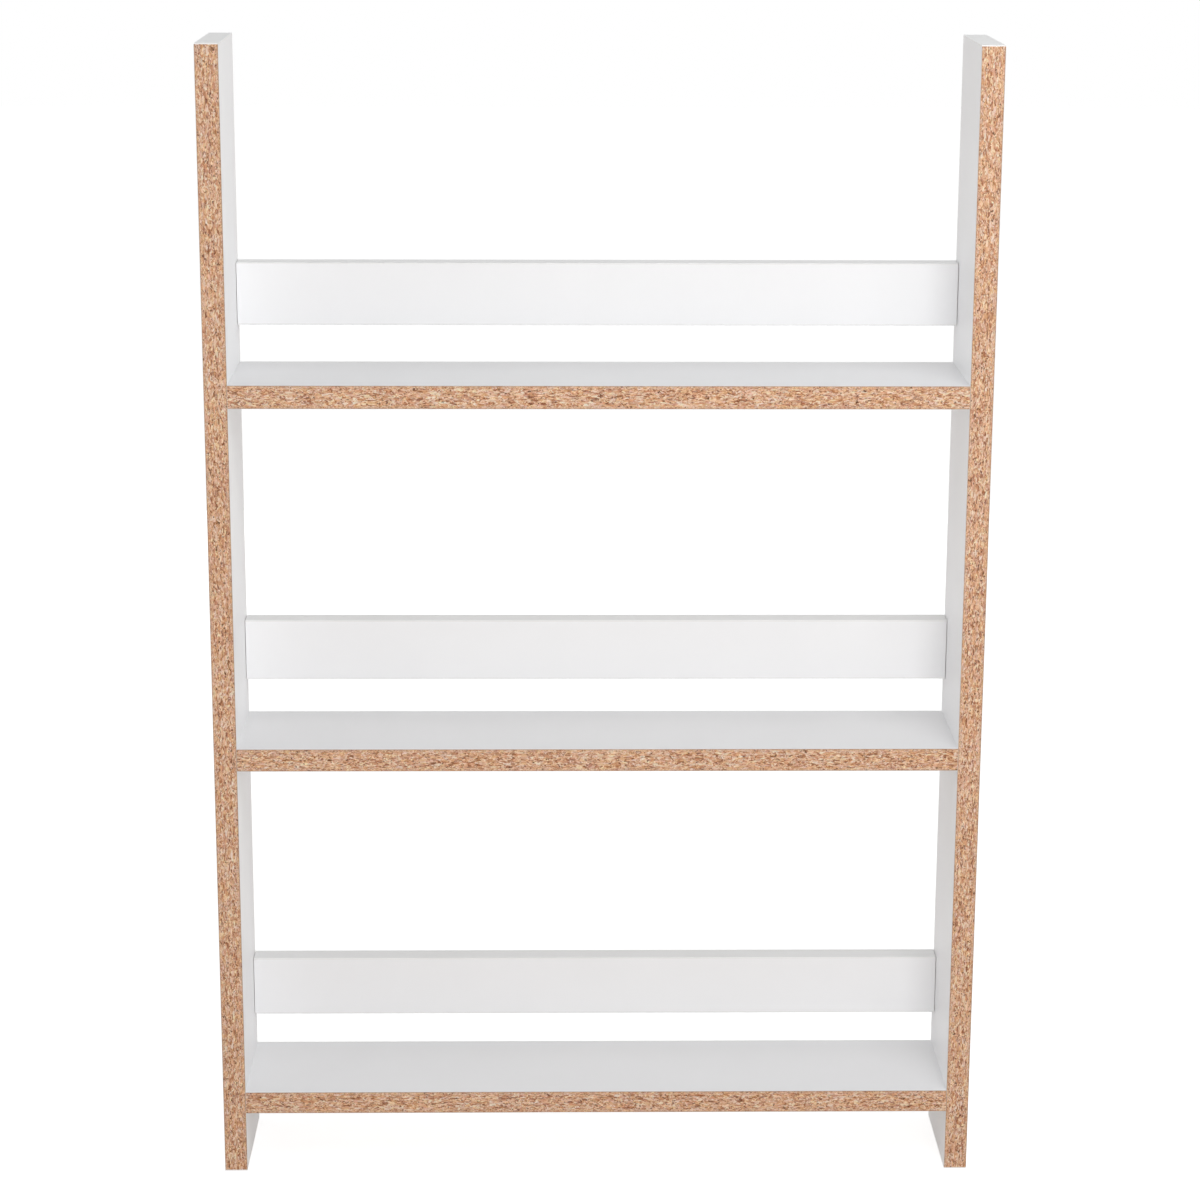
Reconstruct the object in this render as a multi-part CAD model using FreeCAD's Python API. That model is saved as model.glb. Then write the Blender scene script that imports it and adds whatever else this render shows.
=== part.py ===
import FreeCAD, Part
import math
import os

# Open wall shelf of white melamine-faced chipboard: two tall sides, three shelves set between
# them flush with their front edges, and a rail across the back above each shelf.
# Sides, shelves and rails are cut from one board, and the front edges are left raw.
# Millimetres. X runs from left to right seen from the front, Y from the front to the wall and
# Z up. The origin is the middle of the box's underside.

Vector = FreeCAD.Vector

# Carcass
overall_width = 600.0
overall_height = 900.0
overall_depth = 106.0
foot_height = 50.0  # from the floor to the underside of the bottom shelf
tier_clearance = 270.0  # clear height from one shelf to the next
rail_height = 49.0
rail_lift = 32.0  # clear height from a shelf to its rail
rail_end_gap = 0.4  # play at each end of a rail, seen as a thin dark seam
tiers = ["bottom", "middle", "top"]

# Board
board = 18.0  # finished thickness, with both facings
facing = 0.3  # melamine layer on each face
band = 1.0  # plastic edge band
band_easing = 0.5  # radius along the outer arrises of a band

# Beech dowels, glued into the ends of shelves and rails
dowel_radius = 4.0
dowel_sides = 8
dowel_in_side = 11.0
dowel_in_board = 19.0
dowel_chamfer = 1.0
dowel_clearance = 0.05  # all round, in its hole
dowel_end_room = 1.0  # glue room past each end
shelf_dowel_offset = 32.0  # each side of the cam bolt
rail_dowel_pitch = 25.0  # between the two dowels in a rail's end

# Cam bolts, screwed into the sides
bolt_sides = 8
bolt_tip_radius = 1.0
bolt_tip_length = 1.5
bolt_thread_radius = 2.5
bolt_thread_length = 11.0
bolt_collar_radius = 3.5
bolt_collar_length = 2.0
bolt_shaft_radius = 2.8
bolt_neck_radius = 2.0
bolt_head_radius = 3.5
bolt_thread_clearance = 0.05  # all round, in the side
bolt_thread_room = 1.0  # past the bolt's tip
bolt_bore_clearance = 0.5  # all round the collar, in the shelf's end

# Cams, set in the undersides of the shelves
cam_setback = 24.0  # from the side's face to the cam's axis
cam_radius = 7.4
cam_sides = 24
cam_clearance = 0.1  # all round and over the cam, in its bore
cam_sink = 0.2  # below the shelf's face
cam_roof = 1.0  # wall over the chamber
cam_chamber_radius = 5.2
cam_throw = 0.8  # how far the chamber lies off the cam's axis
cam_slot_turn = 190.0  # degrees of the neck slot, from locked to the head's entry
cam_head_clearance = 0.1  # round the bolt's head and neck
cam_cross_length = 7.5
cam_cross_width = 1.6
cam_cross_depth = 2.5

# Keyhole hangers, let into the back of the top rail
hanger_spacing = 400.0
hanger_length = 60.0
hanger_width = 22.0
hanger_thickness = 2.0
hanger_clearance = 0.1  # all round, in its recess
keyhole_entry_radius = 5.0
keyhole_slot_radius = 2.5
keyhole_travel = 8.5  # from the entry's centre up to the slot's end
keyhole_pocket_room = 1.0  # all round the entry, behind the hanger
keyhole_pocket_depth = 6.0  # behind the hanger

# Hanger screws
hanger_screw_pitch = 42.0
screw_sides = 12
screw_head_radius = 3.5
screw_shank_radius = 1.6
screw_tip_radius = 0.4
screw_length = 14.0
screw_tip_length = 3.0
screw_clearance = 0.05  # all round, in the hanger and the rail
screw_end_room = 0.5  # past the screw's tip
screw_cross_length = 3.6
screw_cross_width = 0.8
screw_cross_depth = 1.2

# Places that follow from the sizes above
front = -overall_depth / 2
back = overall_depth / 2
inner_half_width = overall_width / 2 - board
rail_half_length = inner_half_width - rail_end_gap
overcut = 1.0  # how far a cutting tool starts outside the board

X, Y, Z = range(3)
origin = Vector(0, 0, 0)
rightward = Vector(1, 0, 0)
rearward = Vector(0, 1, 0)
upward = Vector(0, 0, 1)
nodes = {}
drillings = {}


def block(low, high):
    """A box between two corners."""
    length, width, height = (end - start for start, end in zip(low, high))
    return Part.makeBox(length, width, height, Vector(*low))


def eased_band(low, high, axis, outer, face_axis):
    """An edge band whose two long outer arrises are rounded."""
    strip = block(low, high)
    middle = (low[face_axis] + high[face_axis]) / 2
    quarter = (high[face_axis] - low[face_axis]) / 4
    arrises = [
        edge
        for edge in strip.Edges
        if abs(edge.CenterOfMass[axis] - outer) < band / 4
        and abs(edge.CenterOfMass[face_axis] - middle) > quarter
    ]
    return strip.makeFillet(band_easing, arrises)


def add_board(name, low, high, face_axis, face_names, bands):
    """A faced board: its core, a facing on each face and bands on the named edges.

    The first band in the list runs the full length of its edge, and later ones stop against it.
    """
    low, high = list(low), list(high)
    for band_name, axis, at_high_end in bands:
        band_low, band_high = list(low), list(high)
        if at_high_end:
            outer = high[axis]
            high[axis] -= band
            band_low[axis] = high[axis]
        else:
            outer = low[axis]
            low[axis] += band
            band_high[axis] = low[axis]
        nodes[name + "_" + band_name] = eased_band(band_low, band_high, axis, outer, face_axis)
    core_low, core_high = list(low), list(high)
    core_low[face_axis] += facing
    core_high[face_axis] -= facing
    first_high, second_low = list(high), list(low)
    first_high[face_axis] = core_low[face_axis]
    second_low[face_axis] = core_high[face_axis]
    nodes[name + "_core"] = block(core_low, core_high)
    nodes[name + "_" + face_names[0]] = block(low, first_high)
    nodes[name + "_" + face_names[1]] = block(second_low, high)
    drillings[name] = []


def turned(steps, sides):
    """A pin or bore along X through (x, radius) steps.

    Fittings repeat so often that their round walls are made of this many flats.
    """
    turns = [2 * math.pi * side / sides for side in range(sides)]
    rings = [
        [Vector(x, radius * math.cos(turn), radius * math.sin(turn)) for turn in turns]
        for x, radius in steps
    ]
    faces = [Part.Face(Part.makePolygon(ring + ring[:1])) for ring in (rings[0], rings[-1])]
    for near, far in zip(rings, rings[1:]):
        for side in range(sides):
            corners = [near[side - 1], near[side], far[side], far[side - 1], near[side - 1]]
            faces.append(Part.Face(Part.makePolygon(corners)))
    return Part.makeSolid(Part.makeShell(faces))


def turned_from(base, direction, radius, length, sides):
    """A straight pin or bore from a point in any direction."""
    bar = turned([(0, radius), (length, radius)], sides)
    bar.Placement = FreeCAD.Placement(base, FreeCAD.Rotation(rightward, direction))
    return bar


def cross_recess(middle, length, width, depth):
    """The cutting tool for a cross recess in a face that looks up."""
    tools = []
    for reach, breadth in ((length, width), (width, length)):
        corner = Vector(middle.x - reach / 2, middle.y - breadth / 2, middle.z - depth)
        tools.append(Part.makeBox(reach, breadth, depth + overcut, corner))
    return tools[0].fuse(tools[1])


def fitting_place(point, into_board, out_of_face):
    """Where a fitting goes: its X runs into the board's end, its Z out of the cam's face."""
    across = out_of_face.cross(into_board)
    columns = [into_board, across, out_of_face, point]
    rows = [getattr(column, part) for part in "xyz" for column in columns]
    return FreeCAD.Placement(FreeCAD.Matrix(*rows, 0, 0, 0, 1))


def placed(shape, place):
    """A copy of a fitting or cutting tool in its place."""
    copy = shape.copy()
    copy.Placement = place.multiply(shape.Placement)
    return copy


# Fittings are made about their own X axis, with the side's face at X = 0 and the board beyond it
cam_head_room = bolt_head_radius + cam_head_clearance
cam_slot_radius = bolt_neck_radius + cam_head_clearance
cam_face = board / 2 - cam_sink
cam_inner_end = -cam_head_room - cam_roof
bolt_head_x = cam_setback - (cam_chamber_radius - cam_throw - cam_head_room)


def make_dowel():
    """A dowel with chamfered ends."""
    nose_radius = dowel_radius - dowel_chamfer
    steps = [
        (-dowel_in_side, nose_radius),
        (-dowel_in_side + dowel_chamfer, dowel_radius),
        (dowel_in_board - dowel_chamfer, dowel_radius),
        (dowel_in_board, nose_radius),
    ]
    return turned(steps, dowel_sides)


def make_cam_bolt():
    """A cam bolt: screw end, collar against the side, shaft, neck and ball head."""
    shaft_end = cam_setback - cam_radius - cam_clearance
    neck_end = bolt_head_x - math.sqrt(bolt_head_radius**2 - bolt_neck_radius**2)
    ball_angles = [math.radians(angle) for angle in (60, 90, 120, 150)]
    steps = [
        (-bolt_thread_length, bolt_tip_radius),
        (-bolt_thread_length + bolt_tip_length, bolt_thread_radius),
        (0, bolt_thread_radius),
        (0, bolt_collar_radius),
        (bolt_collar_length, bolt_collar_radius),
        (bolt_collar_length, bolt_shaft_radius),
        (shaft_end, bolt_shaft_radius),
        (shaft_end, bolt_neck_radius),
        (neck_end, bolt_neck_radius),
    ]
    for angle in ball_angles:
        ring_x = bolt_head_x - bolt_head_radius * math.cos(angle)
        steps.append((ring_x, bolt_head_radius * math.sin(angle)))
    return turned(steps, bolt_sides)


def make_cam():
    """A zinc cam, locked: a drum with an off-centre chamber that draws the bolt's head in."""
    axis = Vector(cam_setback, 0, 0)
    reach = 2 * cam_radius
    drum_base = axis + upward * cam_inner_end
    drum = turned_from(drum_base, upward, cam_radius, cam_face - cam_inner_end, cam_sides)
    chamber_base = axis + rightward * cam_throw - upward * cam_head_room
    chamber = turned_from(chamber_base, upward, cam_chamber_radius, 2 * cam_head_room, cam_sides)
    slot_base = axis - upward * cam_slot_radius
    slot = Part.makeCylinder(reach, 2 * cam_slot_radius, slot_base, upward, cam_slot_turn)
    slot.rotate(axis, upward, 180)
    locked_end = turned_from(axis, -rightward, cam_slot_radius, reach, bolt_sides)
    entry = turned_from(axis, -rightward, cam_head_room, reach, bolt_sides)
    entry.rotate(axis, upward, cam_slot_turn)
    cross_middle = axis + upward * cam_face
    cross = cross_recess(cross_middle, cam_cross_length, cam_cross_width, cam_cross_depth)
    return drum.cut([chamber, slot, locked_end, entry, cross])


dowel = make_dowel()
cam_bolt = make_cam_bolt()
cam = make_cam()

dowel_bore_radius = dowel_radius + dowel_clearance
dowel_bore_end = dowel_in_board + dowel_end_room
dowel_bore = turned([(-overcut, dowel_bore_radius), (dowel_bore_end, dowel_bore_radius)], dowel_sides)
dowel_hole_end = -dowel_in_side - dowel_end_room
dowel_hole = turned([(dowel_hole_end, dowel_bore_radius), (overcut, dowel_bore_radius)], dowel_sides)
bolt_bore_radius = bolt_collar_radius + bolt_bore_clearance
bolt_bore = turned([(-overcut, bolt_bore_radius), (cam_setback, bolt_bore_radius)], bolt_sides)
bolt_hole_radius = bolt_thread_radius + bolt_thread_clearance
bolt_hole_end = -bolt_thread_length - bolt_thread_room
bolt_hole = turned([(bolt_hole_end, bolt_hole_radius), (overcut, bolt_hole_radius)], bolt_sides)
cam_bore_base = Vector(cam_setback, 0, cam_inner_end - cam_clearance)
cam_bore_length = board / 2 + overcut - cam_bore_base.z
cam_bore_radius = cam_radius + cam_clearance
cam_bore = turned_from(cam_bore_base, upward, cam_bore_radius, cam_bore_length, cam_sides)

fittings = {"shelf_cams": [], "shelf_cam_bolts": [], "shelf_dowels": [], "rail_dowels": []}


def add_cam_joint(shelf, side, place):
    """A cam and its bolt between a shelf's end and a side."""
    fittings["shelf_cams"].append(placed(cam, place))
    fittings["shelf_cam_bolts"].append(placed(cam_bolt, place))
    drillings[shelf] += [placed(cam_bore, place), placed(bolt_bore, place)]
    drillings[side].append(placed(bolt_hole, place))


def add_dowel(node, board_name, side, place):
    """A dowel between a board's end and a side."""
    fittings[node].append(placed(dowel, place))
    drillings[board_name].append(placed(dowel_bore, place))
    drillings[side].append(placed(dowel_hole, place))


# Sides
side_bands = [("back_band", Y, True), ("top_band", Z, True), ("bottom_band", Z, False)]
add_board(
    "left_side",
    (-overall_width / 2, front, 0),
    (-inner_half_width, back, overall_height),
    X,
    ["outer_facing", "inner_facing"],
    side_bands,
)
add_board(
    "right_side",
    (inner_half_width, front, 0),
    (overall_width / 2, back, overall_height),
    X,
    ["inner_facing", "outer_facing"],
    side_bands,
)

# Shelves and rails, tier by tier from the bottom
for level, tier in enumerate(tiers):
    shelf = tier + "_shelf"
    rail = tier + "_rail"
    shelf_bottom = foot_height + level * (board + tier_clearance)
    shelf_top = shelf_bottom + board
    rail_bottom = shelf_top + rail_lift
    rail_top = rail_bottom + rail_height
    add_board(
        shelf,
        (-inner_half_width, front, shelf_bottom),
        (inner_half_width, back, shelf_top),
        Z,
        ["lower_facing", "upper_facing"],
        [("back_band", Y, True)],
    )
    add_board(
        rail,
        (-rail_half_length, back - board, rail_bottom),
        (rail_half_length, back, rail_top),
        Y,
        ["front_facing", "back_facing"],
        [("top_band", Z, True), ("bottom_band", Z, False)],
    )
    for side, hand in (("left_side", -1), ("right_side", 1)):
        inward = rightward * -hand
        shelf_joint = Vector(hand * inner_half_width, 0, (shelf_bottom + shelf_top) / 2)
        add_cam_joint(shelf, side, fitting_place(shelf_joint, inward, -upward))
        rail_joint = Vector(shelf_joint.x, back - board / 2, (rail_bottom + rail_top) / 2)
        for step in (-1, 1):
            shelf_dowel = shelf_joint + rearward * (step * shelf_dowel_offset)
            add_dowel("shelf_dowels", shelf, side, fitting_place(shelf_dowel, inward, -upward))
            rail_dowel = rail_joint + upward * (step * rail_dowel_pitch / 2)
            add_dowel("rail_dowels", rail, side, fitting_place(rail_dowel, inward, rearward))


# Keyhole hangers, on the rail that the loop made last
def rounded_bar(middle, run, radius, depth):
    """A round-ended bar let in from the back; run joins the centres of its two ends."""
    half = run / 2
    tip = Vector(run).normalize() * radius
    across = tip.cross(rearward)
    low, high = middle - half, middle + half
    outline = [
        Part.LineSegment(low + across, high + across).toShape(),
        Part.Arc(high + across, high + tip, high - across).toShape(),
        Part.LineSegment(high - across, low - across).toShape(),
        Part.Arc(low - across, low - tip, low + across).toShape(),
    ]
    return Part.Face(Part.Wire(outline)).extrude(rearward * -depth)


def countersunk(clearance, length):
    """A countersunk screw, or its hole, along X from the head's face."""
    head_radius = screw_head_radius + clearance
    shank_radius = screw_shank_radius + clearance
    steps = [
        (0, head_radius),
        (head_radius - shank_radius, shank_radius),
        (length - screw_tip_length, shank_radius),
        (length, screw_tip_radius),
    ]
    return turned(steps, screw_sides)


screw_cross = cross_recess(origin, screw_cross_length, screw_cross_width, screw_cross_depth)
screw_cross.rotate(origin, rearward, -90)
screw = countersunk(0, screw_length).cut(screw_cross)
screw_hole = countersunk(screw_clearance, screw_length + screw_end_room)
into_rail = FreeCAD.Rotation(rightward, -rearward)

hangers = []
hanger_screws = []
hanger_run = rightward * (hanger_length - hanger_width)
keyhole_run = upward * keyhole_travel
recess_radius = hanger_width / 2 + hanger_clearance
pocket_radius = keyhole_entry_radius + keyhole_pocket_room
pocket_depth = hanger_thickness + keyhole_pocket_depth
for hand in (-1, 1):
    middle = Vector(hand * hanger_spacing / 2, back, rail_joint.z)
    entry_middle = middle - keyhole_run / 2
    entry = Part.makeCylinder(keyhole_entry_radius, hanger_thickness, entry_middle, -rearward)
    slot = rounded_bar(middle, keyhole_run, keyhole_slot_radius, hanger_thickness)
    plate = rounded_bar(middle, hanger_run, hanger_width / 2, hanger_thickness)
    recess = rounded_bar(middle, hanger_run, recess_radius, hanger_thickness)
    pocket = rounded_bar(middle, keyhole_run, pocket_radius, pocket_depth)
    screw_places = [
        FreeCAD.Placement(middle + rightward * (end * hanger_screw_pitch / 2), into_rail)
        for end in (-1, 1)
    ]
    screw_holes = [placed(screw_hole, place) for place in screw_places]
    hangers.append(plate.cut([entry, slot] + screw_holes))
    hanger_screws += [placed(screw, place) for place in screw_places]
    drillings[rail] += [recess, pocket] + screw_holes

# Boards are cut for their fittings, and like fittings share a node
for name, tools in drillings.items():
    for node in nodes:
        if node.startswith(name) and not node.endswith("_band"):
            nodes[node] = nodes[node].cut(tools)

for node, solids in fittings.items():
    nodes[node] = Part.makeCompound(solids)
nodes["keyhole_hangers"] = Part.makeCompound(hangers)
nodes["hanger_screws"] = Part.makeCompound(hanger_screws)

os.makedirs("parts", exist_ok=True)
for node, shape in nodes.items():
    shape.exportStep("parts/" + node + ".step")
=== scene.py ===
import math

import bmesh
import bpy
from mathutils import Matrix, Vector


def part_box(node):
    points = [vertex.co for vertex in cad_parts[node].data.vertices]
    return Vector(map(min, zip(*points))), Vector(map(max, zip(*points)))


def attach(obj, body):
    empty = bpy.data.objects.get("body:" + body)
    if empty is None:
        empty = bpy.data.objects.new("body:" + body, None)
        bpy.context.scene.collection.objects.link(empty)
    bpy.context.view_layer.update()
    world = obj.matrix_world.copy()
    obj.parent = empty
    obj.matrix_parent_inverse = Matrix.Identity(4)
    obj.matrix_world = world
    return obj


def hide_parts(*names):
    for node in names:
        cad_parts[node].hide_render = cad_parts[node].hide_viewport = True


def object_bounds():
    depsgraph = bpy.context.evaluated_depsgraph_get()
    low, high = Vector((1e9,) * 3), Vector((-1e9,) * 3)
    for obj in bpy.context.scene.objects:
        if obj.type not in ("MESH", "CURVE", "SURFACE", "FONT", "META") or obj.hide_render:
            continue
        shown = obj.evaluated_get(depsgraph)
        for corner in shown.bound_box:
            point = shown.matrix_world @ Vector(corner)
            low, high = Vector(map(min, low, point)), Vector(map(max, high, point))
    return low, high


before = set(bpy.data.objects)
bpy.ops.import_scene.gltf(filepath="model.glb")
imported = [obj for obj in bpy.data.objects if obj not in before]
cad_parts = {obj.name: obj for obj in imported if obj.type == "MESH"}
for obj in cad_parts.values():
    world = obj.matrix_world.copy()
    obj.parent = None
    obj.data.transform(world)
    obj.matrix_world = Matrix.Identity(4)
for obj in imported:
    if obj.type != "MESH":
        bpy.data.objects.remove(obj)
cad_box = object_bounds()


# Board cores: chipboard, made of wood flakes and resin pressed flat, with finer dust towards both
# faces. The front edges of sides and shelves are left as the saw cut them, so flakes show end on.
def feed(node, sockets):
    """Sets a node's sockets to values, or links them."""
    for socket, value in sockets.items():
        if isinstance(value, Signal):
            value.tree.links.new(value.socket, node.inputs[socket])
        else:
            node.inputs[socket].default_value = value


class Signal:
    """A shader socket that can stand in Python expressions: an operator adds its Math node."""

    def __init__(self, tree, socket=None):
        self.tree = tree
        self.socket = socket

    def node(self, kind, settings, sockets, output=0):
        """Adds a node, with its settings first and then the values or links of its sockets."""
        node = self.tree.nodes.new(kind)
        for setting, value in settings.items():
            if setting == "stops":
                marks = node.color_ramp.elements
                while len(marks) < len(value):
                    marks.new(1.0)
                for mark, (position, colour) in zip(marks, value):
                    mark.position = position
                    mark.color = colour
            else:
                setattr(node, setting, value)
        feed(node, sockets)
        return Signal(self.tree, node.outputs[output])

    def maths(self, operation, first, second=0.0):
        """What one Math node gives."""
        return self.node("ShaderNodeMath", {"operation": operation}, {0: first, 1: second})

    def __add__(self, other):
        return self.maths("ADD", self, other)

    def __sub__(self, other):
        return self.maths("SUBTRACT", self, other)

    def __rsub__(self, other):
        return self.maths("SUBTRACT", other, self)

    def __mul__(self, other):
        return self.maths("MULTIPLY", self, other)

    def __gt__(self, other):
        return self.maths("GREATER_THAN", self, other)

    def __lt__(self, other):
        return self.maths("LESS_THAN", self, other)

    def __abs__(self):
        return self.maths("ABSOLUTE", self)

    __radd__ = __add__
    __rmul__ = __mul__

    def fade(self, start, end, low=0.0, high=1.0):
        """Goes smoothly from low to high while the value goes from start to end."""
        sockets = {"Value": self, "From Min": start, "From Max": end, "To Min": low, "To Max": high}
        return self.node("ShaderNodeMapRange", {"interpolation_type": "SMOOTHSTEP"}, sockets)

    def between(self, none, full):
        """The colour from none to full, by this value from 0 to 1."""
        return self.node("ShaderNodeMix", {"data_type": "RGBA"}, {0: self, 6: none, 7: full}, 2)

    def coloured(self, stops):
        """The colour at this value, from a ramp's stops."""
        return self.node("ShaderNodeValToRGB", {"stops": stops}, {0: self})

    def joined(self, x, y, z):
        """Three values as one vector."""
        return self.node("ShaderNodeCombineXYZ", {}, {0: x, 1: y, 2: z})

    def tinted(self, red, green, blue):
        """The colour, with each of its parts times a value."""
        settings = {"data_type": "RGBA", "blend_type": "MULTIPLY"}
        sockets = {0: 1.0, 6: self, 7: self.joined(red, green, blue)}
        return self.node("ShaderNodeMix", settings, sockets, 2)

    def scaled(self, x, y, z):
        """The place, stretched so that one cell of a texture is that many millimetres."""
        return self.node("ShaderNodeVectorMath", {"operation": "DIVIDE"}, {0: self, 1: (x, y, z)})

    def evenly(self, size):
        """The place, stretched alike in all directions."""
        return self.scaled(size, size, size)

    def part(self, axis):
        """One of the place's three values."""
        return self.node("ShaderNodeSeparateXYZ", {}, {0: self}, axis)

    def noise(self, detail=2.0, roughness=0.5):
        """Cloudy noise about 0."""
        sockets = {"Vector": self, "Scale": 1.0, "Detail": detail, "Roughness": roughness}
        return self.node("ShaderNodeTexNoise", {}, sockets) - 0.5

    def clouds(self, detail=2.0, roughness=0.5):
        """The same noise, about a half."""
        return self.noise(detail, roughness) + 0.5

    def lumps(self, length, thickness, strength, **kind):
        """Noise in flat lumps, whose length and thickness are in millimetres."""
        return self.scaled(length, thickness, length).noise(**kind) * strength

    def bump(self, depth, strength):
        """The surface's normal where this value is the height, in shares of the depth."""
        sockets = {"Height": self, "Distance": depth, "Strength": strength}
        return self.node("ShaderNodeBump", {}, sockets)


def srgb(red, green, blue):
    """A colour as it is seen on screen, from 0 to 255, in the shader's linear values."""
    parts = [part / 255 for part in (red, green, blue)]
    return [p / 12.92 if p < 0.04045 else ((p + 0.055) / 1.055) ** 2.4 for p in parts] + [1.0]


metre = 1000  # millimetres


def new_finish(name):
    """A material, its shader, and the place on the object in millimetres."""
    material = bpy.data.materials.new(name)
    material.use_nodes = True
    shader = material.node_tree.nodes["Principled BSDF"]
    place = Signal(material.node_tree).node("ShaderNodeTexCoord", {}, {}, "Object")
    return material, shader, place.evenly(1 / metre)


def dress(node, material):
    """Gives a CAD node its finish."""
    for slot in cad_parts[node].material_slots:
        slot.material = material


flake_tones = [
    (0.00, srgb(113, 61, 35)),
    (0.07, srgb(152, 93, 60)),
    (0.24, srgb(189, 131, 97)),
    (0.50, srgb(214, 168, 135)),
    (0.78, srgb(227, 194, 165)),
    (1.00, srgb(241, 226, 202)),
]
red_tones = [
    (0.00, srgb(120, 66, 38)),
    (0.50, srgb(214, 154, 110)),
    (1.00, srgb(242, 208, 172)),
]
dust_tones = [
    (0.00, srgb(153, 105, 75)),
    (0.50, srgb(212, 168, 137)),
    (1.00, srgb(240, 214, 187)),
]
# The darker brown that the raw edge turns towards both faces.
face_edge_brown = srgb(148, 104, 78)
bark = srgb(92, 58, 40)
large_flake = (3.5, 1.0)  # length and thickness in millimetres
small_flake = (1.2, 0.75)
dust_grain = (0.9, 0.5)
flake_clump = (4.4, 1.5)
large_share = 0.34  # of the surface
bark_share = 0.035  # of the small flakes
wide_shift = (5.0, 5.0, 3.0)  # lumps that move flakes along: length, thickness and how far
torn_shift = (1.1, 0.45, 1.6)
wide_sway = (16.0, 7.0, 3.0)  # lumps that lift flakes off flat, in the same way
flake_sway = (4.5, 2.2, 1.1)
torn_sway = (0.8, 0.5, 0.5)
torn = {"detail": 3.0, "roughness": 0.6}
coarse_fibre = (2.6, 0.3, 0.5)  # length, thickness and contrast
fine_fibre = (1.6, 0.09, 0.35)
clump_contrast = 0.25
clump_warmth = (0.09, 0.0, -0.25)  # on a warm clump's red, green and blue
flake_redness = (0.04, -0.1, 0.04)  # the same, on a red flake
board_gap = 150  # from each board to the next, in the panel that they are cut from
flake_relief = 0.6
dust_relief = 0.4


def chipboard(core, cut, along, through, across):
    """Raw chipboard, cut at one place in the panel. Its flakes lie along one axis, and flat."""
    low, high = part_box(core)
    axis = "XYZ".index(through)
    middle = (low[axis] + high[axis]) / 2 * metre
    half = (high[axis] - low[axis]) / 2 * metre
    material, shader, place = new_finish(core.replace("core", "chipboard"))
    depth = place.part(through) - middle
    lay = place.joined(place.part(along), depth, place.part(across) + cut)
    shift = lay.lumps(*wide_shift) + lay.lumps(*torn_shift, **torn)
    sway = lay.lumps(*wide_sway) + lay.lumps(*flake_sway) + lay.lumps(*torn_sway, **torn)
    bent = lay.joined(lay.part(0) + shift, depth + sway, lay.part(2))

    def flakes(length, thickness):
        """Three random values for each of the flat cells that flakes of this size make."""
        sockets = {"Vector": bent.scaled(length, thickness, length), "Scale": 1.0}
        cell = bent.node("ShaderNodeTexVoronoi", {}, sockets, "Color")
        return [cell.node("ShaderNodeSeparateColor", {}, {0: cell}, part) for part in range(3)]

    large_tone, large_over, large_hue = flakes(*large_flake)
    small_tone, small_over, small_hue = flakes(*small_flake)
    dust_tone = flakes(*dust_grain)[0]
    clump_tone, clump_warm = [part - 0.5 for part in flakes(*flake_clump)[:2]]
    over = large_over > 1 - large_share
    tone = over * large_tone + (1 - over) * small_tone + clump_tone * clump_contrast
    hue = over * large_hue + (1 - over) * small_hue
    fibre = bent.lumps(*coarse_fibre) + bent.lumps(*fine_fibre, detail=3.0)
    grain = tone + fibre
    redness = hue.fade(0.55, 1.0, low=0.0, high=0.2)
    colour = redness.between(grain.coloured(flake_tones), grain.coloured(red_tones))
    from_face = half - abs(depth)
    dust_cover = from_face.fade(1.0, 3.2, low=0.7, high=0.2)
    colour = dust_cover.between(colour, (dust_tone + fibre).coloured(dust_tones))
    flake_red = hue - 0.5
    shares = zip(clump_warmth, flake_redness)
    colour = colour.tinted(*(clump_warm * warm + flake_red * red + 1 for warm, red in shares))
    bark_cover = (small_over > 1 - bark_share) * small_hue.fade(0.2, 0.9, low=0.35, high=0.9)
    colour = bark_cover.between(colour, bark)
    # Within 0.7 mm of each face, the raw edge is darker brown.
    face_edge_cover = from_face.fade(0.0, 0.7, low=0.6, high=0.0)
    relief = tone * flake_relief + dust_tone * dust_relief + fibre
    feed(
        shader,
        {
            "Base Color": face_edge_cover.between(colour, face_edge_brown),
            "Roughness": tone.fade(0.0, 1.0, low=0.92, high=0.74),
            "Specular IOR Level": 0.3,
            "Normal": relief.bump(depth=0.0003, strength=0.5),
        },
    )
    return material


side_boards = ["left_side", "right_side"]
tiers = ["bottom", "middle", "top"]
cores = {side + "_core": "ZXY" for side in side_boards}  # axes along, through and across it
for tier in tiers:
    cores[tier + "_shelf_core"] = "XZY"
    cores[tier + "_rail_core"] = "XYZ"
for number, (core, axes) in enumerate(cores.items()):
    dress(core, chipboard(core, number * board_gap, *axes))


# Facings: white melamine, resin-soaked paper pressed hot onto both faces of the chipboard. It has a
# satin skin with a fine pearl from the press plate, and the faint haze of wiping. The saw nicked it
# here and there along the raw front edges, and a hairline of glue shows at the bands.
melamine_white = srgb(242, 242, 243)
melamine_shade = srgb(239, 239, 240)
melamine_sawn = srgb(196, 186, 176)
melamine_nicked = srgb(190, 158, 132)
glue_pale = srgb(221, 216, 208)
cloud_size = 90
haze_size = 38
pearl_size = 1.6
nick_size = 1.8
nick_depth = 0.45
glue_line = 0.12
glue_cover = 0.8
sawn_front = cad_box[0].y * metre
sawn_edge = 0.05  # the facings' cut edges lie within this of the front
board_bands = {
    "side": ["Y high", "Z low", "Z high"],
    "shelf": ["Y high"],
    "rail": ["Z low", "Z high"],
}


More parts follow.
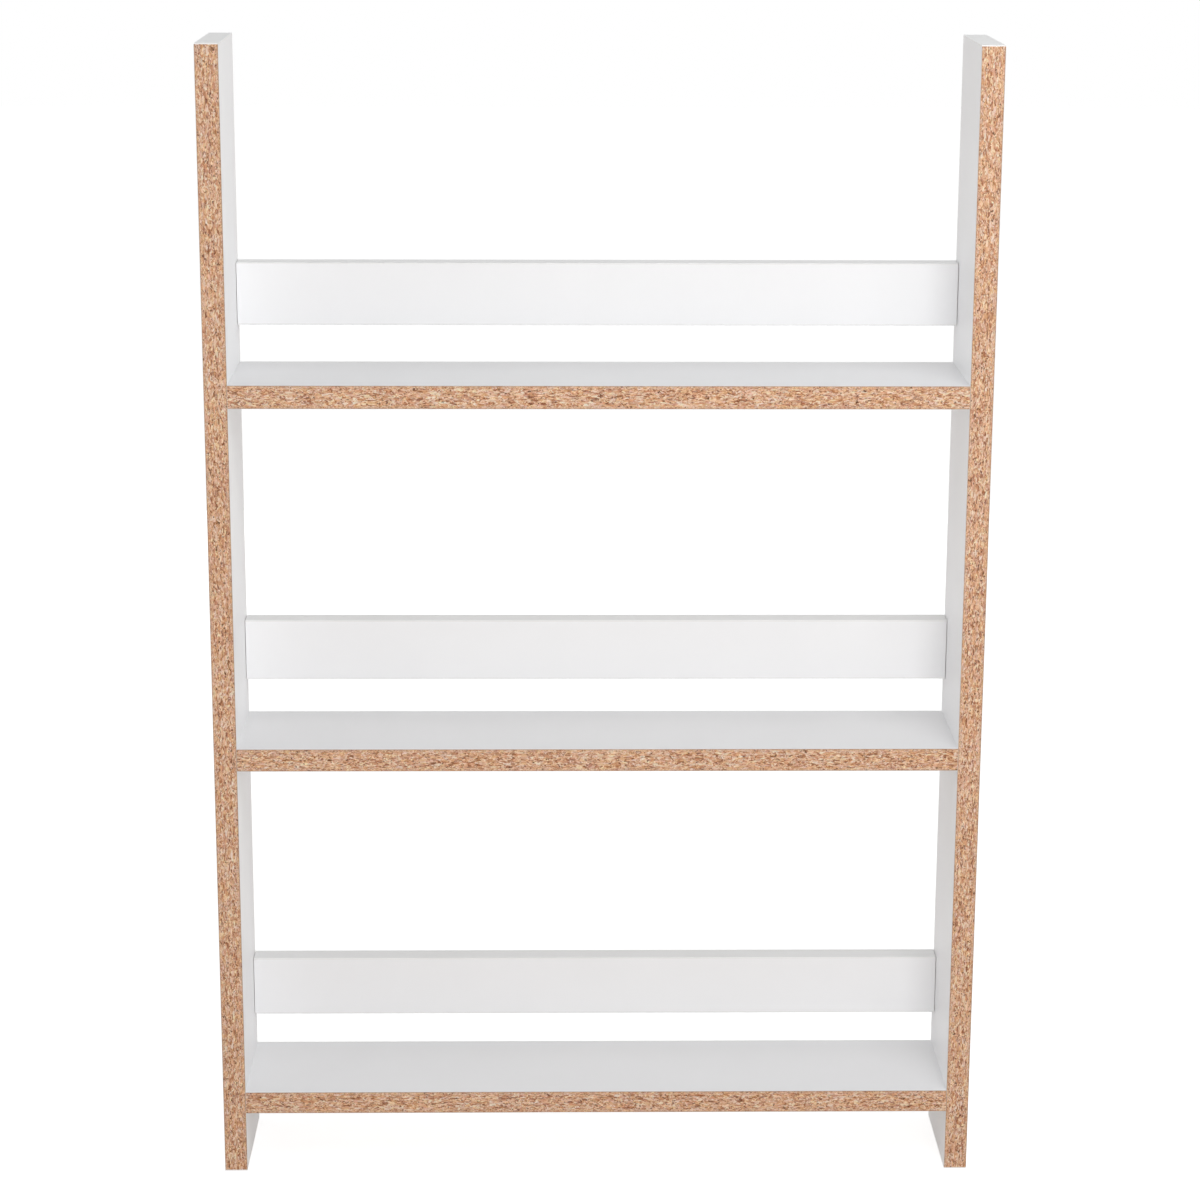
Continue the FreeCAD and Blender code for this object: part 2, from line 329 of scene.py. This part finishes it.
def facing_finish(board, facing):
    """White melamine on one board, whose bands lie along the edges that its kind has them on."""
    material, shader, place = new_finish(board + "_melamine")
    low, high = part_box(facing)
    seam = 0.0
    for edge in board_bands[board.split("_")[1]]:
        axis, end = edge.split()
        banded = {"low": low, "high": high}[end]["XYZ".index(axis)] * metre
        seam = (abs(place.part(axis) - banded) < glue_line) + seam
    clouds = place.evenly(cloud_size).clouds(detail=3.0)
    white = clouds.between(melamine_shade, melamine_white)
    glued = (seam * glue_cover).between(white, glue_pale)
    from_front = place.part("Y") - sawn_front
    nicks = place.evenly(nick_size).noise(detail=3.0).fade(0.08, 0.3, low=0.0, high=nick_depth)
    nicked = (from_front < nicks).between(glued, melamine_nicked)
    haze = place.evenly(haze_size).clouds(detail=4.0, roughness=0.6)
    pearl = place.evenly(pearl_size).noise()
    feed(
        shader,
        {
            "Base Color": (from_front < sawn_edge).between(nicked, melamine_sawn),
            "Roughness": haze.fade(0.2, 0.8, low=0.44, high=0.54),
            "Specular IOR Level": 0.36,
            "Normal": pearl.bump(depth=0.0001, strength=0.12),
        },
    )
    return material


for board in side_boards + [tier + "_" + kind for tier in tiers for kind in ("shelf", "rail")]:
    facings = [
        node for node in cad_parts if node.startswith(board) and node.endswith("_facing")
    ]
    melamine = facing_finish(board, facings[0])
    for node in facings:
        dress(node, melamine)


# Edge bands: white plastic strip, 1 mm thick, glued to the edges with hot glue and trimmed flush.
# The strip is extruded, which leaves very fine lines along it.
band_white = srgb(240, 240, 240)
band_shade = srgb(234, 234, 233)
band_cloud_size = 50
band_line = 0.8
band_line_length = 400
line_contrast = 0.4


def edge_band(run):
    """The strip's finish, with its lines along one axis."""
    material, shader, place = new_finish("white_edge_band_" + run.lower())
    cell = [band_line_length if axis == run else band_line for axis in "XYZ"]
    lines = place.scaled(*cell).noise()
    clouds = place.evenly(band_cloud_size).clouds()
    feed(
        shader,
        {
            "Base Color": (clouds + lines * line_contrast).between(band_shade, band_white),
            "Roughness": lines.fade(-0.3, 0.3, low=0.34, high=0.5),
            "Specular IOR Level": 0.45,
            "Normal": lines.bump(depth=0.00008, strength=0.3),
        },
    )
    return material


bands = {run: edge_band(run) for run in "XYZ"}
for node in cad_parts:
    if node.endswith("_band"):
        run = "X" if "_side_" not in node else "Z" if "back" in node else "Y"
        dress(node, bands[run])


# Dowels: beech, turned and fluted so that air and glue get past, with chamfered ends. Two go into
# each end of a shelf or rail, glued half into the side, and are hidden once the joints are closed.
# Fittings are modelled in millimetres about their own X axis, with the side's face at X = 0.
dowel_radius = 3.7
flute_radius = 3.4
dowel_points = 48
flute_step = 3  # every third point round the dowel lies in a flute
dowel_in_side = 11.0
dowel_in_board = 19.0
dowel_chamfer = 1.0
shelf_dowel_offset = 32.0  # each side of the cam joint
rail_dowel_offset = 12.5  # above and below the rail's middle
crease = math.radians(32)  # edges sharper than this look sharp
touching = 0.001  # points nearer than this are one
beech_light = srgb(222, 184, 140)
beech_dark = srgb(196, 150, 106)
beech_grain = (14, 0.7, 0.7)
beech_ray = (1.6, 0.25, 0.5)
ray_contrast = 0.4
rightward = Vector((1, 0, 0))
rearward = Vector((0, 1, 0))
upward = Vector((0, 0, 1))


def middle_of(node):
    """The middle of a CAD node's box."""
    low, high = (Vector(corner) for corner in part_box(node))
    return (low + high) / 2


def fitting_place(point, into_board, out_of_face):
    """Where a fitting goes: its X runs into the board and its Z out of a face."""
    axes = Matrix((into_board, out_of_face.cross(into_board), out_of_face)).transposed()
    return Matrix.Translation(point) @ axes.to_4x4() @ Matrix.Scale(1 / metre, 4)


def set_fittings(name, fitting, places, node, material):
    """Puts a copy of a fitting in each place, as one piece that stands for a CAD node."""
    bmesh.ops.remove_doubles(fitting, verts=fitting.verts, dist=touching)
    bmesh.ops.recalc_face_normals(fitting, faces=fitting.faces)
    for face in fitting.faces:
        face.smooth = True
    pattern = bpy.data.meshes.new(name + "_pattern")
    fitting.to_mesh(pattern)
    group = bmesh.new()
    for place in places:
        copy = pattern.copy()
        copy.transform(place)
        group.from_mesh(copy)
        bpy.data.meshes.remove(copy)
    bpy.data.meshes.remove(pattern)
    shape = bpy.data.meshes.new(name)
    group.to_mesh(shape)
    shape.set_sharp_from_angle(angle=crease)
    shape.materials.append(material)
    piece = bpy.data.objects.new(name, shape)
    bpy.context.scene.collection.objects.link(piece)
    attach(piece, "root")
    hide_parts(node)


def new_faces(made):
    """The faces among what a bmesh operator made."""
    return [item for item in made["geom"] if isinstance(item, bmesh.types.BMFace)]


beech, shader, place = new_finish("beech_dowel")
grain = place.scaled(*beech_grain).clouds(detail=3.0)
ray = place.scaled(*beech_ray).noise(detail=1.0).fade(0.12, 0.22)
plain_beech = grain.fade(0.3, 0.7).between(beech_dark, beech_light)
feed(
    shader,
    {
        "Base Color": (ray * ray_contrast).between(plain_beech, beech_dark),
        "Roughness": grain.fade(0.2, 0.8, low=0.6, high=0.75),
        "Normal": grain.bump(depth=0.0001, strength=0.3),
    },
)

dowel = bmesh.new()
facing_x = Matrix.Rotation(math.pi / 2, 4, "Y")
ring = bmesh.ops.create_circle(
    dowel, cap_ends=True, segments=dowel_points, radius=dowel_radius, matrix=facing_x
)["verts"]
fluting = Vector((1, 1, 1)) * (flute_radius / dowel_radius)
bmesh.ops.scale(dowel, vec=fluting, verts=ring[::flute_step])
nose = 1 - dowel_chamfer / dowel_radius
section = dowel.faces[:]
drawn, width = 0.0, 1.0
for station, share in [
    (-dowel_in_side, nose),
    (dowel_chamfer - dowel_in_side, 1.0),
    (dowel_in_board - dowel_chamfer, 1.0),
    (dowel_in_board, nose),
]:
    if station > -dowel_in_side:
        whole = section + section[0].edges[:] + section[0].verts[:]
        section = new_faces(bmesh.ops.extrude_face_region(dowel, geom=whole))
    bmesh.ops.translate(dowel, vec=rightward * (station - drawn), verts=section[0].verts)
    bmesh.ops.scale(dowel, vec=(1, share / width, share / width), verts=section[0].verts)
    drawn, width = station, share

shelf_joints = []
shelf_dowels = []
rail_dowels = []
side_faces = [
    (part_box("left_side_inner_facing")[1][0], rightward),
    (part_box("right_side_inner_facing")[0][0], -rightward),
]
for tier in tiers:
    shelf_middle = middle_of(tier + "_shelf_core")
    rail_middle = middle_of(tier + "_rail_core")
    for face_x, inward in side_faces:
        shelf_joint = Vector((face_x, middle_of("shelf_cams").y, shelf_middle.z))
        rail_joint = Vector((face_x, rail_middle.y, rail_middle.z))
        shelf_joints.append(fitting_place(shelf_joint, inward, -upward))
        for hand in (-1, 1):
            beside = shelf_joint + rearward * (hand * shelf_dowel_offset / metre)
            shelf_dowels.append(fitting_place(beside, inward, -upward))
            above = rail_joint + upward * (hand * rail_dowel_offset / metre)
            rail_dowels.append(fitting_place(above, inward, rearward))
set_fittings("fluted_shelf_dowels", dowel, shelf_dowels, "shelf_dowels", beech)
set_fittings("fluted_rail_dowels", dowel, rail_dowels, "rail_dowels", beech)


# Cam bolts: mild steel with a bright zinc plating, turned, with a coarse rolled thread for chipboard.
# The thread is driven into the side until the collar seats, and the ball head reaches into the cam.
bolt_core = 1.8
bolt_crest = 2.5
bolt_pitch = 1.75
bolt_tip = 1.4
bolt_tip_radius = 0.4
bolt_thread = 11.0
bolt_thread_turns = 5
bolt_collar = 3.5
bolt_collar_length = 2.0
bolt_shaft = 2.8
bolt_shaft_end = 16.5
bolt_neck = 2.0
bolt_head = 3.5
bolt_head_x = 23.2
bolt_head_cut = 150.0  # degrees round the ball from the neck to its flat end
bolt_easing = 0.3
bolt_cross = {"length": 2.6, "width": 0.6, "depth": 1.0}
head_steps = 10
turned_sides = 48
thread_steps = 24  # in each turn
thread_foot = 0.95  # of the shank's radius
thread_flank = 0.3  # of the pitch
cross_taper = 0.55  # the floor of a cross recess, as a share of its mouth
steel_light = srgb(202, 204, 206)
steel_dark = srgb(186, 188, 192)
plating_cloud = (9, 9, 5)
rolling_lines = (9, 9, 0.16)
scuff_size = (0.3, 3, 3)
rolling_contrast = 0.7
smooth_plating = 0.27  # roughness, and what clouds, rolling lines and scuffs add to it
cloud_roughness = 0.12
rolling_roughness = 0.2
scuff_roughness = 0.1


def turn(fitting, outline, axis, middle):
    """Turns an open outline of (place along the axis, radius) points all the way round."""
    points = [middle + axis * along + rearward * radius for along, radius in outline]
    corners = [fitting.verts.new(point) for point in points]
    edges = [fitting.edges.new(pair) for pair in zip(corners, corners[1:])]
    bmesh.ops.spin(
        fitting,
        geom=corners + edges,
        cent=middle,
        axis=axis,
        angle=2 * math.pi,
        steps=turned_sides,
        use_merge=True,
    )


def open_edges(fitting, axis, place):
    """The edges of the open end that lies at a place along an axis."""
    return [
        edge
        for edge in fitting.edges
        if edge.is_boundary
        and all(abs(vert.co.dot(axis) - place) < touching for vert in edge.verts)
    ]


def close_with_cross(fitting, axis, place, middle, length, width, depth):
    """Closes an open round end, which looks out along the axis, with a cross-recessed face."""
    rim = open_edges(fitting, axis, place)
    arm = [(length / 2, -width / 2), (length / 2, width / 2), (width / 2, width / 2)]
    quarter = Matrix.Rotation(math.pi / 2, 4, axis)
    beside = axis.orthogonal().normalized()
    above = axis.cross(beside)
    corners = []
    for turns in range(4):
        for across, up in arm:
            corner = beside * across + above * up
            for quarter_turn in range(turns):
                corner = quarter @ corner
            corners.append(fitting.verts.new(middle + axis * place + corner))
    mouth = [fitting.edges.new(pair) for pair in zip(corners, corners[1:] + corners[:1])]
    bmesh.ops.triangle_fill(fitting, edges=rim + mouth, use_beauty=True, normal=axis)
    walls = bmesh.ops.extrude_edge_only(fitting, edges=mouth)["geom"]
    floor_corners = [item for item in walls if isinstance(item, bmesh.types.BMVert)]
    wall_edges = [item for item in walls if isinstance(item, bmesh.types.BMEdge)]
    bmesh.ops.translate(fitting, vec=axis * -depth, verts=floor_corners)
    floor_middle = Matrix.Translation(-(middle + axis * (place - depth)))
    taper = Vector((1, 1, 1)) * cross_taper
    bmesh.ops.scale(fitting, vec=taper, space=floor_middle, verts=floor_corners)
    bmesh.ops.edgeloop_fill(fitting, edges=[edge for edge in wall_edges if edge.is_boundary])


def wind_thread(fitting, start, turns, pitch, core, crest):
    """Winds a sharp ridge round a shank along X, with its foot a little inside the shank."""
    foot, flank = core * thread_foot, pitch * thread_flank
    outline = [(start, foot), (start + flank, crest), (start + 2 * flank, foot)]
    corners = [fitting.verts.new((along, radius, 0)) for along, radius in outline]
    ridge = fitting.faces.new(corners)
    bmesh.ops.spin(
        fitting,
        geom=corners + list(ridge.edges) + [ridge],
        cent=(0, 0, 0),
        axis=rightward,
        dvec=rightward * (pitch / thread_steps),
        angle=2 * math.pi * turns,
        steps=turns * thread_steps,
    )


steel, shader, place = new_finish("zinc_plated_steel")
cloud = place.scaled(*plating_cloud).clouds(detail=3.0, roughness=0.55)
rolled = place.scaled(*rolling_lines).noise(detail=3.0, roughness=0.6)
scuff = place.scaled(*scuff_size).noise().fade(0.16, 0.24)
plating = (cloud + rolled * rolling_contrast).fade(0.2, 0.8)
wear = cloud * cloud_roughness + rolled * rolling_roughness + scuff * scuff_roughness
feed(
    shader,
    {
        "Base Color": plating.between(steel_dark, steel_light),
        "Metallic": 1.0,
        "Roughness": wear + smooth_plating,
        "Normal": rolled.bump(depth=0.00004, strength=0.25),
    },
)

head_start = math.asin(bolt_neck / bolt_head)
head_step = (math.radians(bolt_head_cut) - head_start) / head_steps
head_angles = [head_start + head_step * step for step in range(head_steps + 1)]
bolt_outline = [
    (-bolt_thread, bolt_tip_radius),
    (bolt_tip - bolt_thread, bolt_core),
    (0, bolt_core),
    (0, bolt_collar - bolt_easing),
    (bolt_easing, bolt_collar),
    (bolt_collar_length - bolt_easing, bolt_collar),
    (bolt_collar_length, bolt_collar - bolt_easing),
    (bolt_collar_length, bolt_shaft),
    (bolt_shaft_end - bolt_easing, bolt_shaft),
    (bolt_shaft_end, bolt_shaft - bolt_easing),
    (bolt_shaft_end, bolt_neck),
]
for angle in head_angles:
    along = bolt_head_x - bolt_head * math.cos(angle)
    bolt_outline.append((along, bolt_head * math.sin(angle)))
bolt = bmesh.new()
turn(bolt, bolt_outline, rightward, Vector())
bmesh.ops.edgeloop_fill(bolt, edges=open_edges(bolt, rightward, -bolt_thread))
close_with_cross(bolt, rightward, bolt_outline[-1][0], Vector(), **bolt_cross)
wind_thread(bolt, bolt_tip - bolt_thread, bolt_thread_turns, bolt_pitch, bolt_core, bolt_crest)
set_fittings("threaded_cam_bolts", bolt, shelf_joints, "shelf_cam_bolts", steel)


# Cams: zinc die castings pressed into bores in the undersides of the shelves, just under the face.
# The bolt's head goes in at the wide end of the slot, and a turn with a screwdriver draws it in and
# holds it. The raised arrow points at the bolt.
cam_setback = 24.0  # from the side's face to the cam's axis
cam_radius = 7.4
cam_face = 8.8  # above the shelf's mid-plane, seen with the face up
cam_inner_end = -4.6
cam_easing = 0.4
cam_rim = 1.0
cam_dish = 0.5
cam_chamber_radius = 5.2
cam_throw = 0.8  # how far the chamber lies off the cam's axis
cam_head_room = 3.6
cam_neck_room = 2.1
cam_locked_end = 150.0  # degrees round the cam from the board's side of it
cam_entry_start = 337.5
cam_entry_end = 37.5
cam_cross = {"length": 7.5, "width": 1.6, "depth": 2.5}
cam_arrow = {"radius": 0.9, "reach": 4.9, "foot": 8.2, "height": 0.5}
upright = 0.5  # walls lean less than this, as the Z of their normal
zinc_light = srgb(186, 188, 191)
zinc_dark = srgb(150, 152, 157)
casting_grain = 0.5
casting_cloud = 4
casting_contrast = 0.5

zinc, shader, place = new_finish("die_cast_zinc")
cast = place.evenly(casting_grain).noise(detail=3.0)
cloud = place.evenly(casting_cloud).clouds(detail=3.0)
casting = (cloud + cast * casting_contrast).fade(0.2, 0.8)
feed(
    shader,
    {
        "Base Color": casting.between(zinc_dark, zinc_light),
        "Metallic": 1.0,
        "Roughness": cloud.fade(0.2, 0.8, low=0.36, high=0.52),
        "Normal": cast.bump(depth=0.0001, strength=0.4),
    },
)

cam = bmesh.new()
cam_axis = rightward * cam_setback
chamber_axis = cam_axis + rightward * cam_throw
cam_floor = cam_face - cam_dish
slot_levels = [cam_head_room, cam_neck_room, -cam_neck_room, -cam_head_room]
drum_outline = [
    (cam_floor, cam_radius - cam_easing - cam_rim),
    (cam_face, cam_radius - cam_easing - cam_rim + cam_dish),
    (cam_face, cam_radius - cam_easing),
    (cam_face - cam_easing, cam_radius),
    *[(level, cam_radius) for level in slot_levels],
    (cam_inner_end + cam_easing, cam_radius),
    (cam_inner_end, cam_radius - cam_easing),
]
turn(cam, drum_outline, upward, cam_axis)
bmesh.ops.edgeloop_fill(cam, edges=open_edges(cam, upward, cam_inner_end))
close_with_cross(cam, upward, cam_floor, cam_axis, **cam_cross)
turn(cam, [(level, cam_chamber_radius) for level in slot_levels], upward, chamber_axis)
for level in (cam_head_room, -cam_head_room):
    bmesh.ops.edgeloop_fill(cam, edges=open_edges(cam, upward, level))


def in_slot(face):
    """Whether a face of the drum's or chamber's wall lies where the bolt's neck or head passes."""
    middle = face.calc_center_median()
    if abs(middle.z) > cam_head_room - touching or abs(face.normal.z) > upright:
        return False
    out = middle - cam_axis
    if out.xy.length < cam_chamber_radius + cam_throw + touching:
        out = middle - chamber_axis
    angle = math.degrees(math.atan2(out.y, out.x)) % 360
    if angle > cam_entry_start or angle < cam_entry_end:
        return True
    return angle > cam_locked_end and abs(middle.z) < cam_neck_room


cam.normal_update()
bmesh.ops.delete(cam, geom=[face for face in cam.faces if in_slot(face)], context="FACES")
bmesh.ops.bridge_loops(cam, edges=[edge for edge in cam.edges if edge.is_boundary])
arrow_foot = cam_axis - rightward * cam_arrow["reach"] + upward * cam_arrow["foot"]
arrow_place = Matrix.Translation(arrow_foot) @ Matrix.Rotation(math.pi / 2, 4, "Z")
arrow = bmesh.ops.create_circle(
    cam, cap_ends=True, segments=3, radius=cam_arrow["radius"], matrix=arrow_place
)
arrow_base = arrow["verts"][0].link_faces[:]
arrow_top = new_faces(bmesh.ops.extrude_face_region(cam, geom=arrow_base))
bmesh.ops.translate(cam, vec=upward * cam_arrow["height"], verts=arrow_top[0].verts)
set_fittings("cast_cams", cam, shelf_joints, "shelf_cams", zinc)


# Keyhole hangers: steel plate, stamped and zinc plated, let in flush with the back of the top rail.
# A wall screw's head goes in at the round entry, and the shelf drops until the shank ends in the slot.
hanger_length = 60.0
hanger_width = 22.0
hanger_thickness = 2.0
hanger_easing = 0.3
keyhole_entry = 5.0
keyhole_slot = 2.5
keyhole_travel = 8.5
hanger_screw_pitch = 42.0
countersink = 3.65
screw_way = 1.7
near_hole = 0.1  # points within this of a countersink belong to it
arc_steps = 24  # in a half turn


def run_to(plate, vert, place):
    """Draws a straight run from a vertex to a place, and returns the vertex there."""
    made = bmesh.ops.extrude_vert_indiv(plate, verts=[vert])["verts"]
    made[0].co = place
    return made[0]


def arc_round(plate, vert, middle, degrees):
    """Draws an arc from a vertex round a middle, and returns its last vertex."""
    steps = max(1, round(arc_steps * abs(degrees) / 180))
    made = bmesh.ops.spin(
        plate, geom=[vert], cent=middle, axis=upward, angle=math.radians(degrees), steps=steps
    )["geom_last"]
    return [item for item in made if isinstance(item, bmesh.types.BMVert)][0]


plate = bmesh.new()
half_run = rightward * (hanger_length - hanger_width) / 2
half_width = rearward * hanger_width / 2
corner = plate.verts.new(-half_run - half_width)
corner = arc_round(plate, run_to(plate, corner, half_run - half_width), half_run, 180)
arc_round(plate, run_to(plate, corner, -half_run + half_width), -half_run, 180)

entry_middle = rearward * -keyhole_travel / 2
slot_middle = rearward * keyhole_travel / 2
slot_side = rightward * keyhole_slot
entry_angle = math.degrees(math.asin(keyhole_slot / keyhole_entry))
meeting = entry_middle + rearward * math.sqrt(keyhole_entry**2 - keyhole_slot**2)
corner = plate.verts.new(meeting + slot_side)
corner = arc_round(plate, run_to(plate, corner, slot_middle + slot_side), slot_middle, 180)
entry_run = run_to(plate, corner, meeting - slot_side)
arc_round(plate, entry_run, entry_middle, 360 - 2 * entry_angle)
screw_middles = [rightward * (end * hanger_screw_pitch / 2) for end in (-1, 1)]
for middle in screw_middles:
    hole = Matrix.Translation(middle)
    bmesh.ops.create_circle(plate, segments=turned_sides, radius=countersink, matrix=hole)
bmesh.ops.remove_doubles(plate, verts=plate.verts, dist=touching)
bmesh.ops.triangle_fill(plate, edges=plate.edges[:], use_beauty=True, normal=upward)
back_faces = new_faces(bmesh.ops.extrude_face_region(plate, geom=plate.faces[:]))
back_corners = list({vert for face in back_faces for vert in face.verts})
bmesh.ops.translate(plate, vec=upward * -hanger_thickness, verts=back_corners)


def in_hole(vert, middle):
    """Whether a vertex belongs to the screw hole round a middle."""
    return (vert.co - middle).xy.length < countersink + near_hole


narrowing = Vector((screw_way / countersink, screw_way / countersink, 1))
for middle in screw_middles:
    way = [vert for vert in back_corners if in_hole(vert, middle)]
    bmesh.ops.scale(plate, vec=narrowing, space=Matrix.Translation(-middle), verts=way)
arrises = [
    edge
    for edge in plate.edges
    if all(abs(vert.co.z) < touching for vert in edge.verts)
    and any(abs(face.calc_center_median().z) > touching for face in edge.link_faces)
    and not any(in_hole(edge.verts[0], middle) for middle in screw_middles)
]
bmesh.ops.bevel(
    plate,
    geom=arrises,
    offset=hanger_easing,
    offset_type="OFFSET",
    segments=3,
    profile=0.5,
    affect="EDGES",
    material=-1,
)
hangers_end = Vector(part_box("keyhole_hangers")[1])
hanger_reach = hangers_end.x - hanger_length / 2 / metre
hanger_height = middle_of("keyhole_hangers").z
hanger_points = [Vector((hand * hanger_reach, hangers_end.y, hanger_height)) for hand in (-1, 1)]
hanger_places = [fitting_place(point, -rightward, rearward) for point in hanger_points]
set_fittings("stamped_hangers", plate, hanger_places, "keyhole_hangers", steel)


# Hanger screws: countersunk chipboard screws with a cross recess, zinc plated, two through each
# hanger. Each stopped at another angle when it was driven home.
screw_head = 3.4
screw_sink = 0.1  # below the hanger's face
screw_lip = 0.15
screw_neck_x = 2.0
screw_core = 1.2
screw_crest = 1.6
screw_pitch = 1.2
screw_thread_start = 2.6
screw_thread_turns = 7
screw_tip_x = 11.0
screw_length = 14.0
screw_tip_radius = 0.15
screw_stop = 37.0  # degrees from one screw to the next
screw_cross = {"length": 3.6, "width": 0.8, "depth": 1.2}

screw_outline = [
    (screw_sink, screw_head),
    (screw_sink + screw_lip, screw_head),
    (screw_neck_x, screw_crest),
    (screw_thread_start, screw_core),
    (screw_tip_x, screw_core),
    (screw_length, screw_tip_radius),
]
screw = bmesh.new()
turn(screw, screw_outline, rightward, Vector())
bmesh.ops.edgeloop_fill(screw, edges=open_edges(screw, rightward, screw_length))
close_with_cross(screw, -rightward, -screw_sink, Vector(), **screw_cross)
wind_thread(screw, screw_thread_start, screw_thread_turns, screw_pitch, screw_core, screw_crest)
screw_places = []
for point in hanger_points:
    for middle in screw_middles:
        seat = fitting_place(point + middle / metre, -rearward, upward)
        stop = Matrix.Rotation(math.radians(screw_stop * len(screw_places)), 4, "X")
        screw_places.append(seat @ stop)
set_fittings("countersunk_screws", screw, screw_places, "hanger_screws", steel)


# Floor: a plain pale sheet under the shelf, which throws a warm light up at it. Seen straight or in a
# reflection it is lifted to white, so that only the shadow close to the feet stays on it.
# From below it isn't there, so that the undersides can be looked at.
floor_pale = srgb(228, 217, 208)
floor_worn = srgb(231, 221, 212)
floor_seen = srgb(219, 219, 219)
floor_half = 9.0
floor_lift = 0.65
floor_cloud = 300
black = (0, 0, 0, 1)
seen_rays = ["Camera", "Glossy", "Transmission"]


def seen_directly(signal):
    """1 for rays from the camera or off a glossy or clear surface, 0 for rays that carry light."""
    rays = [signal.node("ShaderNodeLightPath", {}, {}, "Is %s Ray" % kind) for kind in seen_rays]
    return signal.maths("MAXIMUM", signal.maths("MAXIMUM", rays[0], rays[1]), rays[2])


bpy.ops.mesh.primitive_plane_add(size=2 * floor_half, location=(0, 0, 0))
floor = bpy.context.object
floor.name = "floor"
material, shader, place = new_finish("pale_floor")
worn = place.evenly(floor_cloud).clouds(detail=3.0)
direct = seen_directly(place)
feed(
    shader,
    {
        "Base Color": direct.between(worn.between(floor_pale, floor_worn), floor_seen),
        "Roughness": 0.9,
        "Specular IOR Level": 0.0,
        "Emission Color": direct.between(black, (floor_lift, floor_lift, floor_lift, 1)),
        "Emission Strength": 1.0,
        "Alpha": 1 - place.node("ShaderNodeNewGeometry", {}, {}, "Backfacing"),
    },
)
floor.data.materials.append(material)


# Light: a studio with white walls to the left and right, a dimmer ceiling and back wall, and soft
# lamps: two in front, one above and to the right of the shelf and one further off, and a low one
# behind it. It is dark behind the camera.
left_wall = 1.2
right_wall = 0.9
ceiling = 0.42
back_wall = 0.43
lamps = {
    "near_lamp": {"place": (0.50, -0.90, 1.50), "size": 0.8, "watts": 5.0},
    "far_lamp": {"place": (0.30, -2.20, 0.90), "size": 1.2, "watts": 20.8},
    "rear_lamp": {"place": (-0.10, 2.40, 0.12), "size": 1.2, "watts": 10.0},
}
lamp_colour = (0.985, 1.0, 1.012)
lamp_aim = Vector((0.0, 0.0, 0.5))
white = (1, 1, 1, 1)

room = bpy.data.worlds.new("room")
room.use_nodes = True
bpy.context.scene.world = room
outlook = Signal(room.node_tree).node("ShaderNodeTexCoord", {}, {}, "Generated")
sideways, backward, overhead = (outlook.part(axis) for axis in "XYZ")
side_wall = (sideways > 0) * (right_wall - left_wall) + left_wall
end_wall = (backward > 0) * back_wall
walls = sideways * sideways * side_wall + backward * backward * end_wall
level = walls + overhead * overhead * ceiling
background = room.node_tree.nodes["Background"]
feed(background, {"Color": seen_directly(outlook).between(level, white), "Strength": 1.0})

for name, lamp in lamps.items():
    light = bpy.data.lights.new(name, "AREA")
    light.size = lamp["size"]
    light.energy = lamp["watts"]
    light.color = lamp_colour
    fixture = bpy.data.objects.new(name, light)
    fixture.location = lamp["place"]
    fixture.rotation_euler = (lamp_aim - fixture.location).to_track_quat("-Z", "Y").to_euler()
    fixture.visible_glossy = False
    bpy.context.scene.collection.objects.link(fixture)


# Camera: a long lens in front of the shelf, above its top and looking down at it. Its place and its
# angles are those at which the sides, shelves and rails line up with the photograph.
camera_place = Vector((-0.0395, -2.372, 1.072))
camera_yaw = math.radians(1.002)
camera_pitch = math.radians(14.412)
camera_roll = math.radians(0.231)

camera_data = bpy.data.cameras.new("camera")
camera_data.sensor_fit = "HORIZONTAL"
camera_data.sensor_width = 36.0
camera_data.lens = 93.06
camera = bpy.data.objects.new("camera", camera_data)
camera.matrix_world = (
    Matrix.Translation(camera_place)
    @ Matrix.Rotation(-camera_yaw, 4, "Z")
    @ Matrix.Rotation(math.pi / 2 - camera_pitch, 4, "X")
    @ Matrix.Rotation(camera_roll, 4, "Z")
)
bpy.context.scene.collection.objects.link(camera)
bpy.context.scene.camera = camera
bpy.context.scene.view_settings.view_transform = "Standard"
